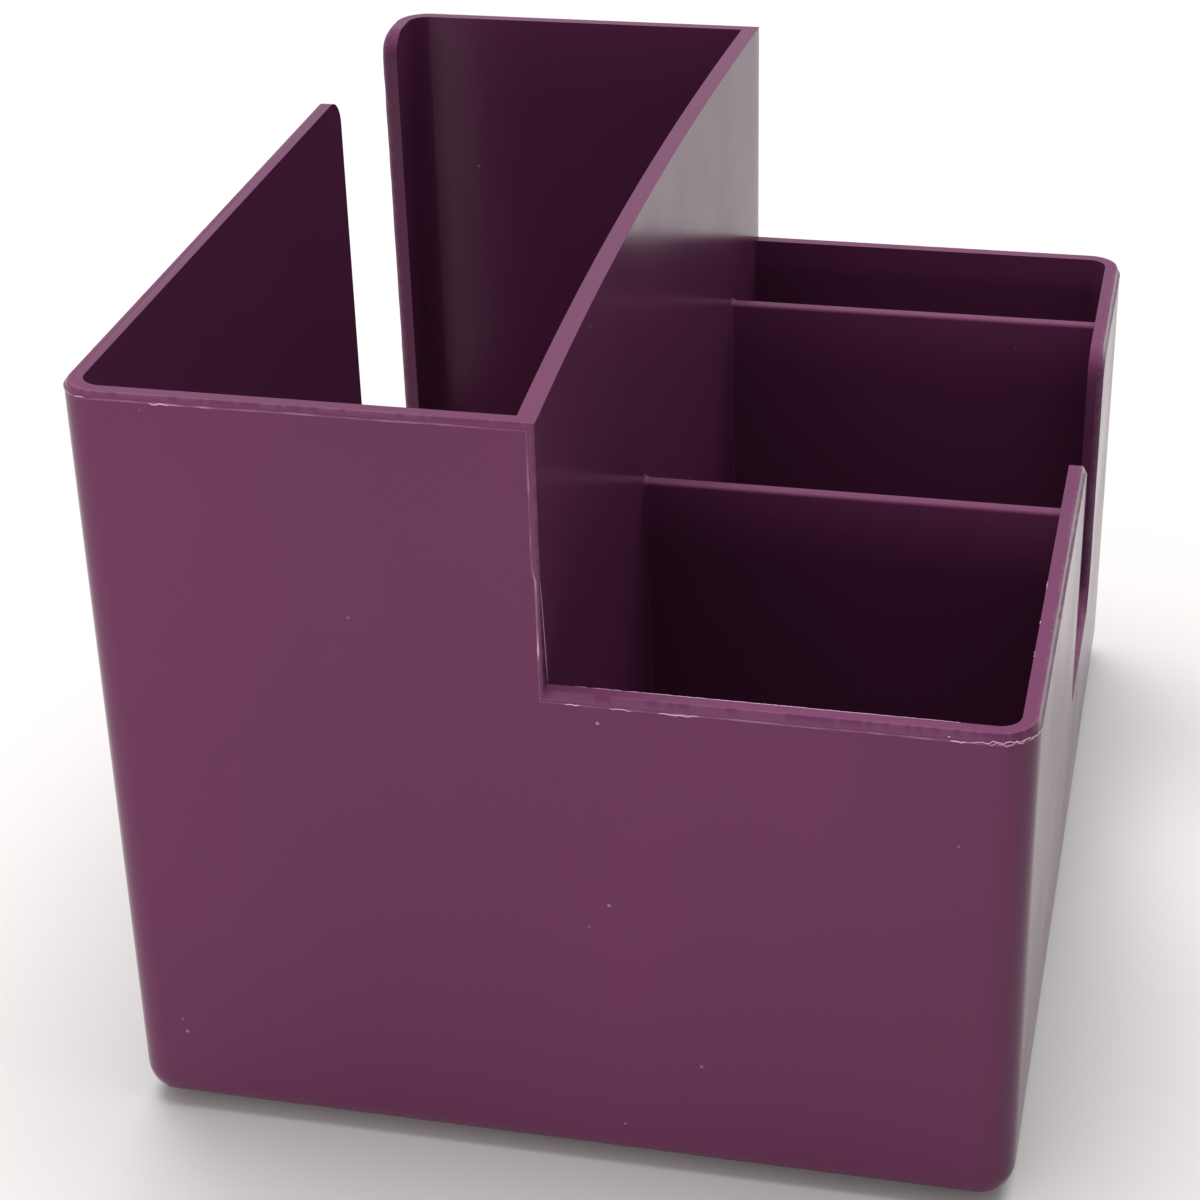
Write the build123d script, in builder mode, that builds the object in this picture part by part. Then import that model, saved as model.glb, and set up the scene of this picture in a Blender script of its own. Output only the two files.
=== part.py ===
from build123d import *
import os
from math import radians, tan

# Desk organizer: a stepped, open-topped plastic box.
# The left half is a tall compartment of full depth. The right half is lower, and two thin
# cross plates divide it into three compartments. A finger slot is cut down from the rim of
# the left wall and from the rim of the right wall.
#
# Frame, in millimetres: X to the right, Y to the back, Z up. The origin is on the desk,
# under the centre of the box.

# ---------------------------------------------------------------- driving dimensions
width = 110.0                   # over the outer faces, at the tall rim
depth = 141.0
tall_height = 98.0              # tall rim above the underside of the shell
low_height = 65.0               # low rim above the underside of the shell
wall = 2.3
floor_thickness = 2.3
draft = 0.3                     # degrees that every wall leans in towards the base

corner_radius = 5.0             # upright outer corners
inner_corner_radius = corner_radius - wall
base_radius = 4.0               # rounding between the outer walls and the underside
floor_radius = 1.5              # rounding between the inner walls and the floor

middle_wall_bow = 1.75          # the tall middle wall is bowed to the left, most at its rim

# the rim band: above the mould's parting line the outside is set in a little
tall_band_height = 0.7
low_band_height = 1.1
band_inset = 0.2
step_band_width = 0.8           # the same band, beside the upright edge of the step

# finger slots, as stretches of Y, with their bottom above the underside of the shell
left_slot = (30.6, 58.6)
right_slot = (1.0, 32.2)
slot_bottom = 27.0
slot_mouth_radius = 4.0         # the rim's corners beside a slot
slot_bottom_radius = 4.0

# dividers
front_divider_y = -10.3
rear_divider_y = 49.8
divider_thickness = 2.0
divider_drop = 2.5              # divider tops below the low rim
groove_depth = 0.6              # how far a divider is let into the walls and the floor

# non-slip feet
foot_radius = 5.0
foot_thickness = 1.5
foot_seat_depth = 0.7
foot_edge_radius = 0.4
foot_inset = 13.0               # centre of a foot from the outer faces at the base
foot_stand = foot_thickness - foot_seat_depth

# ---------------------------------------------------------------- worked-out levels
underside_z = foot_stand
floor_z = underside_z + floor_thickness
low_rim_z = underside_z + low_height
tall_rim_z = underside_z + tall_height
divider_top_z = low_rim_z - divider_drop
slot_bottom_z = underside_z + slot_bottom
clear = 5.0                     # how far cutting solids run past the shell


def lean(z):
    """How far an outer wall has moved in at the height z, below the tall rim."""
    return (tall_rim_z - z) * tan(radians(draft))


def bow(z):
    """How far the middle of the middle wall is pushed to the left at the height z."""
    return middle_wall_bow * (z - underside_z) / tall_height


def tapered_block(inset, bottom_z, radius):
    """The solid inside the outer walls when each is moved in by inset, down to bottom_z."""
    with BuildPart() as block:
        with BuildSketch(Plane.XY.offset(tall_rim_z)):
            RectangleRounded(width - 2 * inset, depth - 2 * inset, radius)
        extrude(amount=tall_rim_z - bottom_z, dir=(0, 0, -1), taper=draft)
    return block.part


def space_beside_wall(face_x, side, bottom_z):
    """The space on one side of the bowed face that crosses X = face_x, from bottom_z up.

    side is +1 for the space to the right of the face and -1 for the space to its left.
    """
    half = depth / 2
    far_x = side * (width / 2 + clear)
    with BuildPart() as space:
        for z in (bottom_z, tall_rim_z + clear):
            with BuildSketch(Plane.XY.offset(z)):
                with BuildLine():
                    ThreePointArc((face_x, -half), (face_x - bow(z), 0), (face_x, half))
                    Polyline((face_x, half), (far_x, half), (far_x, -half), (face_x, -half))
                make_face()
        loft(ruled=True)
    return space.part


def slot_cutter(start_x, stretch, rim_z):
    """A finger slot's cutter: it starts at start_x and runs through one wall."""
    low_y, high_y = stretch
    reach = 2 * slot_mouth_radius
    with BuildPart() as cutter:
        with BuildSketch(Plane.YZ.offset(start_x)) as outline:
            with BuildLine():
                Polyline(
                    (low_y - reach, rim_z + clear),
                    (low_y - reach, rim_z),
                    (low_y, rim_z),
                    (low_y, slot_bottom_z),
                    (high_y, slot_bottom_z),
                    (high_y, rim_z),
                    (high_y + reach, rim_z),
                    (high_y + reach, rim_z + clear),
                    close=True,
                )
            make_face()
            at_rim = outline.vertices().group_by(Axis.Y)[1].sort_by(Axis.X)
            fillet(at_rim[1:3], slot_mouth_radius)
            fillet(outline.vertices().group_by(Axis.Y)[0], slot_bottom_radius)
        extrude(amount=2 * clear)
    return cutter.part


def divider(centre_y):
    """A cross plate let into the floor, the middle wall and the right wall."""
    groove_floor_z = floor_z - groove_depth
    with BuildPart() as plate:
        with BuildSketch(Plane.XY.offset(groove_floor_z)):
            with Locations((0, centre_y)):
                Rectangle(width, divider_thickness)
        extrude(amount=divider_top_z - groove_floor_z)
        inset = wall - groove_depth
        add(tapered_block(inset, groove_floor_z, inner_corner_radius), mode=Mode.INTERSECT)
        add(space_beside_wall(-groove_depth, 1, groove_floor_z), mode=Mode.INTERSECT)
    return plate.part


# ---------------------------------------------------------------- dividers
with BuildPart() as front_divider:
    add(divider(front_divider_y))

with BuildPart() as rear_divider:
    add(divider(rear_divider_y))


# ---------------------------------------------------------------- feet
foot_x = width / 2 - lean(underside_z) - foot_inset
foot_y = depth / 2 - lean(underside_z) - foot_inset
foot_places = {
    "foot_front_left": (-foot_x, -foot_y),
    "foot_front_right": (foot_x, -foot_y),
    "foot_rear_left": (-foot_x, foot_y),
    "foot_rear_right": (foot_x, foot_y),
}

feet = {}
for foot_name, place in foot_places.items():
    with BuildPart() as foot:
        with BuildSketch():
            with Locations(place):
                Circle(foot_radius)
        extrude(amount=foot_thickness)
        fillet(foot.edges().group_by(Axis.Z)[0], foot_edge_radius)
    feet[foot_name] = foot.part


# ---------------------------------------------------------------- spaces inside the shell
hollow = tapered_block(wall, floor_z, inner_corner_radius)

with BuildPart() as left_compartment:
    add(hollow)
    add(space_beside_wall(-wall, -1, floor_z), mode=Mode.INTERSECT)
    fillet(left_compartment.faces().sort_by(Axis.Z)[0].edges(), floor_radius)

with BuildPart() as right_tray:
    add(hollow)
    add(space_beside_wall(0, 1, floor_z), mode=Mode.INTERSECT)
    fillet(right_tray.faces().sort_by(Axis.Z)[0].edges(), floor_radius)

# everything right of the middle wall and above the low rim
with BuildPart() as step_space:
    with BuildSketch(Plane.XY.offset(low_rim_z)):
        Rectangle(width + 2 * clear, depth + 2 * clear)
    extrude(amount=tall_height)
    add(space_beside_wall(0, 1, floor_z), mode=Mode.INTERSECT)

# the skin that the rim band is short of: band_inset thick, and open below the parting line
with BuildPart() as band_skin:
    add(tapered_block(-clear, underside_z, corner_radius))
    add(tapered_block(band_inset, underside_z, corner_radius - band_inset), mode=Mode.SUBTRACT)
    with BuildSketch(Plane.XZ) as above_parting_line:
        far_x = width / 2 + 2 * clear
        with BuildLine():
            Polyline(
                (-far_x, tall_rim_z - tall_band_height),
                (-step_band_width, tall_rim_z - tall_band_height),
                (-step_band_width, low_rim_z - low_band_height),
                (far_x, low_rim_z - low_band_height),
                (far_x, tall_rim_z + clear),
                (-far_x, tall_rim_z + clear),
                close=True,
            )
        make_face()
    extrude(amount=depth, both=True, mode=Mode.INTERSECT)


# ---------------------------------------------------------------- body
with BuildPart() as body:
    add(tapered_block(0, underside_z, corner_radius))
    fillet(body.edges().group_by(Axis.Z)[0], base_radius)
    for space in (left_compartment, right_tray, step_space, band_skin):
        add(space.part, mode=Mode.SUBTRACT)
    left_start_x = -width / 2 - clear
    add(slot_cutter(left_start_x, left_slot, tall_rim_z), mode=Mode.SUBTRACT)
    right_start_x = width / 2 - wall - clear
    add(slot_cutter(right_start_x, right_slot, low_rim_z), mode=Mode.SUBTRACT)
    for plate in (front_divider, rear_divider):
        add(plate.part, mode=Mode.SUBTRACT)
    for foot_pad in feet.values():
        add(foot_pad, mode=Mode.SUBTRACT)


# ---------------------------------------------------------------- export
os.makedirs("parts", exist_ok=True)
pieces = {
    "body": body.part,
    "front_divider": front_divider.part,
    "rear_divider": rear_divider.part,
    **feet,
}
for name, piece in pieces.items():
    piece.label = name
    export_step(piece, f"parts/{name}.step")
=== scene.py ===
"""Desk organizer: the visual model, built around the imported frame.

The box is one plum moulding: a tall compartment of full depth on the left and a low tray on
the right, with a bowed wall between them. Its surfaces are worked out as grids over the
walls unrolled flat. Two thin cross plates, four foot pads and some fine threads of flash
complete it.
"""
import logging
from dataclasses import dataclass, field
from enum import Enum
from math import pi, radians, tan

import bmesh
import bpy
import numpy as np
from mathutils import Matrix, Vector
from mathutils.geometry import delaunay_2d_cdt


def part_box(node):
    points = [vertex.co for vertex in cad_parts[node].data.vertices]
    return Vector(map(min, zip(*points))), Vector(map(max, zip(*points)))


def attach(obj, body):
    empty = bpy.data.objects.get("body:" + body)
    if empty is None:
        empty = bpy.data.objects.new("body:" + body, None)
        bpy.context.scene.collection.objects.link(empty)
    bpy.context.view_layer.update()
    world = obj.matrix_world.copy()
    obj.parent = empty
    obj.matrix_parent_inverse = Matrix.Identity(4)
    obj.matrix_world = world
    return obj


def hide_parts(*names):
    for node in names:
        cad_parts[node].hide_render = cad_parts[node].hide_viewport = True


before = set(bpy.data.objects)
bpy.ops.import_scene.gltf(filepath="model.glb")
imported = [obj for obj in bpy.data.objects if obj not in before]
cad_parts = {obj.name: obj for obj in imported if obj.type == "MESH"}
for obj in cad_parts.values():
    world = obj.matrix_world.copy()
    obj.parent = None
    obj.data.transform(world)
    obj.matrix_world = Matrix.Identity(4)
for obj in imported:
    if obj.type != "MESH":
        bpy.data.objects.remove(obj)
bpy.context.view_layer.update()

MM = 0.001
WELD_DISTANCE = 1e-6
HAIR = 1e-9
ROOT_BODY = "root"
PADS = ("foot_front_left", "foot_front_right", "foot_rear_left", "foot_rear_right")
LOG = logging.getLogger("desk_organizer")


# ------------------------------------------------------------------------ mesh helpers


class Mark(Enum):
    """The per-vertex marks that a surface may carry."""

    SHARP = "sharp_line"
    # Whitens the colour: partly pale thin flash, partly a painted highlight along the parting line and
    # edges.
    FLASH = "flash"


class Patchwork:
    """Grids of points that are welded into one closed mesh."""

    fill_tolerance = 1e-7
    keep_holes_open = 2

    def __init__(self) -> None:
        """Starts with no patches."""
        self.points: list[np.ndarray] = []
        self.faces: list[np.ndarray] = []
        self.marks: dict[Mark, list[np.ndarray]] = {mark: [] for mark in Mark}
        self.count = 0

    def add_points(self, points: np.ndarray, marks: dict[Mark, np.ndarray]) -> int:
        """Stores points and their marks.

        Args:
            points: an array of shape (number, 3), in metres.
            marks: an array of one value for each point, for each mark that isn't 0.

        Returns:
            The index of the first point.
        """
        first = self.count
        self.points.append(points)
        for mark, stored in self.marks.items():
            stored.append(marks.get(mark, np.zeros(len(points))))
        self.count += len(points)
        return first

    def add_grid(self, grid: np.ndarray, **marks: np.ndarray) -> None:
        """Adds a grid of points as quads between neighbouring rows and columns.

        Args:
            grid: an array of shape (rows, columns, 3), in metres.
            marks: arrays of shape (rows, columns), named sharp or flash.
        """
        rows, columns = grid.shape[:2]
        flat_marks = {
            Mark[name.upper()]: np.broadcast_to(values, (rows, columns)).reshape(-1)
            for name, values in marks.items()
        }
        first = self.add_points(grid.reshape(-1, 3), flat_marks)
        index = first + np.arange(rows * columns).reshape(rows, columns)
        corners = (index[:-1, :-1], index[:-1, 1:], index[1:, 1:], index[1:, :-1])
        self.faces.append(np.stack(corners, axis=-1).reshape(-1, 4))

    def add_filled(self, outlines: list[np.ndarray], height: float) -> None:
        """Fills a flat area between an outer outline and the holes in it.

        Args:
            outlines: closed outlines of shape (number, 2), the outer one first.
            height: the Z of the area.
        """
        flat = np.concatenate(outlines)
        starts = np.cumsum([0] + [len(outline) for outline in outlines])
        loops = [list(range(start, end)) for start, end in zip(starts, starts[1:])]
        corners = [Vector(place) for place in flat.tolist()]
        points, _, faces, *_ = delaunay_2d_cdt(
            corners, [], loops, self.keep_holes_open, self.fill_tolerance
        )
        place = np.array([(*point, height) for point in points])
        first = self.add_points(place, {})
        self.faces.append(first + np.array(faces))

    def build(self, name: str, merge_distance: float = WELD_DISTANCE) -> bpy.types.Mesh:
        """Welds the patches, turns every face outwards and makes a smooth mesh.

        Args:
            name: the mesh's name.
            merge_distance: points nearer than this become one.

        Returns:
            The mesh, with each mark as a float attribute of its points.
        """
        mesh = bpy.data.meshes.new(name)
        faces = [face for group in self.faces for face in group.tolist()]
        mesh.from_pydata(np.concatenate(self.points).tolist(), [], faces)
        for mark, stored in self.marks.items():
            layer = mesh.attributes.new(mark.value, "FLOAT", "POINT")
            layer.data.foreach_set("value", np.concatenate(stored).astype(np.float32))
        work = bmesh.new()
        work.from_mesh(mesh)
        bmesh.ops.remove_doubles(work, verts=work.verts, dist=merge_distance)
        bmesh.ops.dissolve_degenerate(work, edges=work.edges, dist=merge_distance)
        bmesh.ops.recalc_face_normals(work, faces=work.faces)
        open_edges = sum(not edge.is_manifold for edge in work.edges)
        LOG.info("%s: %d faces, %d open edges", name, len(work.faces), open_edges)
        work.to_mesh(mesh)
        work.free()
        mesh.shade_smooth()
        return mesh


def mark_sharp_lines(mesh: bpy.types.Mesh, sharpest_kept: float) -> None:
    """Gives full bevel weight to each marked edge that folds by more than an angle.

    Args:
        mesh: a welded mesh whose sharp lines are marked on their points.
        sharpest_kept: the fold, in radians, up to which an edge stays as it is.
    """
    work = bmesh.new()
    work.from_mesh(mesh)
    weight = work.edges.layers.float.new("bevel_weight_edge")
    marked = work.verts.layers.float[Mark.SHARP.value]
    for edge in work.edges:
        on_line = all(corner[marked] > 0.5 for corner in edge.verts)
        if on_line and edge.calc_face_angle(0.0) > sharpest_kept:
            edge[weight] = 1.0
    work.to_mesh(mesh)
    work.free()


def add_piece(name: str, mesh: bpy.types.Mesh, finish: bpy.types.Material) -> bpy.types.Object:
    """Links a mesh into the scene as a piece that rides on the only body.

    Args:
        name: the piece's name.
        mesh: its mesh, in place.
        finish: the material to wear.

    Returns:
        The piece.
    """
    piece = bpy.data.objects.new(name, mesh)
    mesh.materials.append(finish)
    bpy.context.scene.collection.objects.link(piece)
    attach(piece, ROOT_BODY)
    return piece


def wander(steps: np.ndarray, wavelength: float, seed: int) -> np.ndarray:
    """A smooth random run of values between 0 and 1 along a path.

    Random heights stand one wavelength apart, and a cosine eases from each to the next.

    Args:
        steps: distances along the path.
        wavelength: the distance between two heights.
        seed: the seed of the random heights.

    Returns:
        The value at each distance.
    """
    places = steps / wavelength
    count = int(np.ceil(places.max())) + 2
    heights = np.random.default_rng(seed).random(count)
    whole = np.floor(places).astype(int)
    ease = 0.5 - 0.5 * np.cos(pi * (places - whole))
    return heights[whole] * (1 - ease) + heights[whole + 1] * ease


# ------------------------------------------------------------------------ the moulding


@dataclass
class Walls:
    """The outer walls, unrolled: a place on them is a distance along and a height.

    The distance starts at the middle of the front and runs to the right, round the back
    and home. Each wall leans in towards the base.
    """

    width: float = 110.0 * MM
    depth: float = 141.0 * MM
    top: float = 98.8 * MM
    low_top: float = 65.8 * MM
    underside: float = 0.8 * MM
    thickness: float = 2.3 * MM
    corner: float = 5.0 * MM
    lean_angle: float = radians(0.3)

    def __post_init__(self) -> None:
        """Works out where each flat wall and each corner starts along the way round."""
        half_x = self.width / 2 - self.corner
        half_y = self.depth / 2 - self.corner
        turn = self.corner * pi / 2
        lengths = [half_x, turn, 2 * half_y, turn, 2 * half_x, turn, 2 * half_y, turn, half_x]
        self.knots = np.cumsum([0.0] + lengths)
        self.centre_x = np.array([0, 1, 1, 1, 1, -1, -1, -1, -1, 0]) * half_x
        self.centre_y = np.array([-1, -1, -1, 1, 1, 1, 1, -1, -1, -1]) * half_y
        self.facing = np.array([-1, -1, 0, 0, 1, 1, 2, 2, 3, 3]) * pi / 2
        self.around = float(self.knots[-1])
        self.back_middle = float(self.knots[4] + half_x)

    def lean(self, height: np.ndarray) -> np.ndarray:
        """How far a wall has moved in at a height."""
        return (self.top - height) * tan(self.lean_angle)

    def skin(self, along: np.ndarray, height: np.ndarray, inset: np.ndarray) -> np.ndarray:
        """Places points of a wall in space.

        The corner centres' rectangle and the direction that the wall faces are both
        piecewise-linear in the distance along. A point stands out from the rectangle, in
        that direction, by the corner's radius less the inset and the lean.

        Args:
            along: distances round the walls.
            height: the points' Z.
            inset: how far the points are behind the outer face.

        Returns:
            The points, with a last axis of X, Y and Z.
        """
        along, height, inset = np.broadcast_arrays(along % self.around, height, inset)
        facing = np.interp(along, self.knots, self.facing)
        reach = self.corner - inset - self.lean(height)
        x = np.interp(along, self.knots, self.centre_x) + reach * np.cos(facing)
        y = np.interp(along, self.knots, self.centre_y) + reach * np.sin(facing)
        return np.stack((x, y, height), axis=-1)

    def right_wall_place(self, y: float) -> float:
        """The distance along at which the right wall has the given Y."""
        return float(self.knots[2] + self.depth / 2 - self.corner + y)

    def left_wall_place(self, y: float) -> float:
        """The distance along at which the left wall has the given Y."""
        return float(self.knots[6] + self.depth / 2 - self.corner - y)


@dataclass
class RimLine:
    """The rim's outline on the unrolled walls, with its slots and its steps."""

    walls: Walls
    left_slot: tuple[float, float] = (30.6 * MM, 58.6 * MM)
    right_slot: tuple[float, float] = (1.0 * MM, 32.2 * MM)
    slot_bottom: float = 27.8 * MM
    slot_corner: float = 4.0 * MM
    spacing: float = 0.6 * MM
    arc_steps: int = 12

    def key_points(self) -> list[tuple[float, float, float, bool]]:
        """Lists the outline's corners.

        Returns:
            For each corner: the distance along, the height, the radius, and whether the
            wall's grid runs straight down from it.
        """
        walls = self.walls
        knots = walls.knots
        low, top, bottom, radius = walls.low_top, walls.top, self.slot_bottom, self.slot_corner
        right = [walls.right_wall_place(y) for y in self.right_slot]
        left = [walls.left_wall_place(y) for y in reversed(self.left_slot)]
        back = walls.back_middle
        return [
            (0.0, low, 0.0, True),
            (knots[1], low, 0.0, True),
            (knots[2], low, 0.0, True),
            (right[0], low, radius, False),
            (right[0], bottom, radius, True),
            (right[1], bottom, radius, True),
            (right[1], low, radius, False),
            (knots[3], low, 0.0, True),
            (knots[4], low, 0.0, True),
            (back, low, 0.0, True),
            (back, top, 0.0, False),
            (back + walls.thickness, top, 0.0, False),
            (knots[5], top, 0.0, True),
            (knots[6], top, 0.0, True),
            (left[0], top, radius, False),
            (left[0], bottom, radius, True),
            (left[1], bottom, radius, True),
            (left[1], top, radius, False),
            (knots[7], top, 0.0, True),
            (knots[8], top, 0.0, True),
            (walls.around - walls.thickness, top, 0.0, False),
            (walls.around, top, 0.0, False),
            (walls.around, low, 0.0, True),
        ]

    def trace(self) -> None:
        """Works out the outline as straight runs joined by arcs, evenly stepped.

        At each point the inward direction is the run's direction turned to the right. At a
        sharp corner it is the sum of both runs' directions, so that lines a fixed depth
        inside both runs meet there.
        """
        keys = self.key_points()
        corners = np.array([key[:2] for key in keys])
        runs = np.diff(corners, axis=0)
        runs /= np.linalg.norm(runs, axis=1)[:, None]
        inward = np.stack((runs[:, 1], -runs[:, 0]), axis=1)
        points, turned, anchors = [], [], []
        for number, (place, _, radius, straight_down) in enumerate(keys):
            before = inward[number - 1]
            after = inward[number % len(inward)]
            if radius:
                angle = np.linspace(0.0, pi / 2, self.arc_steps + 1)[:, None]
                mix = before * np.cos(angle) + after * np.sin(angle)
                folds_in = np.cross(runs[number - 1], runs[number]) < 0
                side = 1.0 if folds_in else -1.0
                centre = corners[number] + side * radius * (before + after)
                bend = centre - side * radius * mix
            else:
                mix = ((before + after) / (1 + before @ after))[None]
                bend = corners[number][None]
            if points:
                start, end = points[-1][-1], bend[0]
                count = max(int(np.ceil(np.linalg.norm(end - start) / self.spacing)), 1)
                share = np.linspace(0.0, 1.0, count + 1)[1:-1, None]
                points.append(start + (end - start) * share)
                turned.append(np.repeat(before[None], len(share), axis=0))
                anchors.append(np.zeros(len(share), dtype=bool))
            points.append(bend)
            turned.append(mix)
            ends = np.zeros(len(bend), dtype=bool)
            ends[[0, -1]] = straight_down
            anchors.append(ends)
        self.points = np.concatenate(points)
        self.inward = np.concatenate(turned)
        self.anchor = np.concatenate(anchors)
        lengths = np.linalg.norm(np.diff(self.points, axis=0), axis=1)
        self.travel = np.concatenate(([0.0], np.cumsum(lengths)))

    def feet(
        self, chosen: slice, ends_down: bool = True, edge: np.ndarray | None = None
    ) -> np.ndarray:
        """Where the grid lines from a stretch of the outline reach the base.

        Lines run straight down from the anchors, and between two anchors they are spread
        in proportion to the way travelled along the outline.

        Args:
            chosen: the stretch of the outline.
            ends_down: whether lines also run straight down from the stretch's ends.
            edge: how far along the walls the lines start, if not at the outline itself.

        Returns:
            The distance along the walls for each of the stretch's points.
        """
        anchor = self.anchor[chosen].copy()
        if ends_down:
            anchor[[0, -1]] = True
        travel = self.travel[chosen]
        along = self.points[chosen, 0] if edge is None else edge
        return np.interp(travel, travel[anchor], along[anchor])

    def index_at(self, along: float, height: float) -> int:
        """The number of the outline's point nearest to a place."""
        gap = np.hypot(self.points[:, 0] - along, self.points[:, 1] - height)
        return int(np.argmin(gap))


@dataclass
class Moulding:
    """The whole plastic box: outer skin, rim, both hollows, middle wall and underside."""

    walls: Walls = field(default_factory=Walls)
    node: str = "body"
    slot: str = "shell_plastic"
    floor_thickness: float = 2.3 * MM
    base_radius: float = 4.0 * MM
    floor_radius: float = 1.5 * MM
    bow: float = 1.75 * MM
    edge_radius: float = 0.14 * MM
    sharpest_kept: float = radians(35.0)
    corner_inward: float = 1.1

    # The rim band's width below each rim, down the slots and down the steps, and its
    # narrower stretch below the trim cut on the front step.
    tall_band: float = 0.7 * MM
    low_band: float = 1.1 * MM
    slot_band: float = 0.4 * MM
    step_band: float = 0.75 * MM
    trimmed_band: float = 0.42 * MM
    band_fade: float = 10.0 * MM
    step_reach: float = 1.0 * MM
    trim_starts: float = 81.5 * MM
    trim_ends: float = 79.8 * MM

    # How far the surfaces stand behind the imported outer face.
    panel_inset: float = 0.12 * MM
    band_inset: float = 0.2 * MM
    rim_inset: float = 0.62 * MM

    # The parting line under the band. Its rows are shares of its width, measured down.
    line_width: float = 0.22 * MM
    line_rows: tuple[float, ...] = (-1.0, -0.7, -0.3, 0.2, 0.6, 1.5)
    line_wobble: float = 0.08 * MM
    wobble_length: float = 6 * MM
    calm_length: float = 2.5 * MM
    groove_depth: float = 0.03 * MM
    flash_height: float = 0.11 * MM
    burr_lengths: tuple[float, float] = (1.7 * MM, 23 * MM)
    # How pale the ridge is drawn, partly pale flash and partly painted highlight, and how pale the band
    # is drawn, as a painted highlight.
    least_pale: float = 0.08
    pale_power: float = 1.5
    band_painted_highlight: float = 0.05

    # The fine witness groove along the top of the left wall's rim.
    witness_inset: float = 1.25 * MM
    witness_width: float = 0.12 * MM
    witness_depth: float = 0.09 * MM
    witness_length: float = 75.0 * MM

    # The seats of the foot pads.
    seat_radius: float = 5.0 * MM
    seat_depth: float = 0.7 * MM

    # How finely the grids and rounds are divided.
    edge_steps: int = 3
    wall_rows: int = 8
    arc_rows: int = 8
    length_steps: int = 64
    seat_steps: int = 48

    def __post_init__(self) -> None:
        """Traces the rim and works out the levels."""
        self.rim = RimLine(self.walls)
        self.rim.trace()
        self.floor = self.walls.underside + self.floor_thickness
        self.patches = Patchwork()

    def build(self, finish: bpy.types.Material) -> bpy.types.Object:
        """Builds every surface, welds them and rounds the sharp lines.

        Args:
            finish: the material to wear.

        Returns:
            The visible moulding.
        """
        self.add_outer_skin()
        self.add_rim_top()
        self.add_left_hollow()
        self.add_right_hollow()
        self.add_middle_wall()
        self.add_underside()
        mesh = self.patches.build("plum_moulding")
        mark_sharp_lines(mesh, self.sharpest_kept)
        piece = add_piece("plum_moulding", mesh, finish)
        rounding = piece.modifiers.new("edge_rounding", "BEVEL")
        rounding.width = self.edge_radius
        rounding.segments = self.edge_steps
        rounding.limit_method = "WEIGHT"
        rounding.harden_normals = True
        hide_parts(self.node)
        return piece

    def band_depths(self) -> np.ndarray:
        """How deep the parting line lies inside the rim's outline, at each of its points.

        The depth across is given for upright lines and the depth down for level ones, and
        each is a piecewise-linear function of the height. Beside the front step the flash
        was trimmed closer below a short slanted cut.

        Returns:
            Depths of shape (points, 2): along the walls and down.
        """
        walls = self.walls
        along, height = self.rim.points.T
        low, high, fade = walls.low_top, walls.top, self.band_fade
        down_levels = (self.rim.slot_bottom, low - fade, low, high - fade, high)
        down_depths = (self.slot_band, self.slot_band, self.low_band, self.slot_band, self.tall_band)
        down = np.interp(height, down_levels, down_depths)
        cut_levels = (low, self.trim_ends, self.trim_starts, high)
        cut_depths = (self.trimmed_band, self.trimmed_band, self.step_band, self.step_band)
        cut = np.interp(height, cut_levels, cut_depths)
        on_front_step = (along >= walls.around - walls.thickness) | (along == 0.0)
        on_back_step = np.abs(along - walls.back_middle) < self.step_reach
        across = np.where(on_front_step, cut, np.where(on_back_step, self.step_band, self.slot_band))
        return np.stack((across, down), axis=1)

    def add_outer_skin(self) -> None:
        """Adds the rim band, the parting line's flash, the outer walls and the base's round.

        Rows of points follow the rim's outline at growing depth, then run in straight
        lines down to the base, then round it as a quarter circle. Across the parting line
        they make a shallow groove and beside it a low ridge of uneven height. Each of
        these rows is a distance below the line, an inset, a flash mark and a
        sharp mark. That mark whitens the ridge as partly pale flash and partly a painted highlight, and
        the band under the rim as a painted highlight.
        """
        walls, rim, width = self.walls, self.rim, self.line_width
        calm = self.away_from_corners()
        short, long = self.burr_lengths
        burr = calm * wander(rim.travel, short, seed=5) * wander(rim.travel, long, seed=6)
        wobble = calm * self.line_wobble * (wander(rim.travel, self.wobble_length, seed=7) - 0.5)
        crest = self.panel_inset - self.flash_height * burr
        # pale whitens the ridge along the parting line: partly pale flash, partly a painted highlight
        # of its edge catching the light.
        pale = self.least_pale + (1 - self.least_pale) * burr**self.pale_power
        panel, groove = self.panel_inset, self.band_inset + self.groove_depth
        band_end, groove_bed, crest_top, crest_end, line_end, clear = self.line_rows
        none = np.zeros(len(rim.points))
        rows = [
            # The rim's outer edge and the band below it are whitened a little: a painted highlight of
            # light from above.
            (none, self.rim_inset, self.band_painted_highlight, 1.0),
            (wobble + band_end * width, self.band_inset, self.band_painted_highlight, 0.0),
            (wobble + groove_bed * width, groove, 0.0, 0.0),
            (wobble + crest_top * width, crest, pale, 0.0),
            (wobble + crest_end * width, crest, pale, 0.0),
            (wobble + line_end * width, panel, 0.0, 0.0),
            (clear * width + none, panel, 0.0, 0.0),
        ]
        places = [rim.points] + [self.line_beside(distance) for distance, *_ in rows[1:]]
        insets = [none + inset for _, inset, *_ in rows]
        flash = [none + amount for *_, amount, _ in rows]
        sharp = [none + amount for *_, amount in rows]

        base = walls.underside + self.base_radius
        feet = rim.feet(slice(None), edge=places[-1][:, 0])
        ground = np.stack((feet, none + base), axis=1)
        for share in np.linspace(0.0, 1.0, self.wall_rows + 1)[1:]:
            places.append(places[len(rows) - 1] * (1 - share) + ground * share)
            insets.append(none + panel)
        for angle in np.linspace(0.0, pi / 2, self.arc_rows + 1)[1:]:
            places.append(ground - (0.0, self.base_radius * np.sin(angle)))
            insets.append(none + panel + self.base_radius * (1 - np.cos(angle)))
        plain = [none] * (len(places) - len(rows))
        place = np.array(places)
        grid = walls.skin(place[..., 0], place[..., 1], np.array(insets))
        self.patches.add_grid(grid, flash=np.array(flash + plain), sharp=np.array(sharp + plain))
        self.base_ring = grid[-1]

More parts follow.
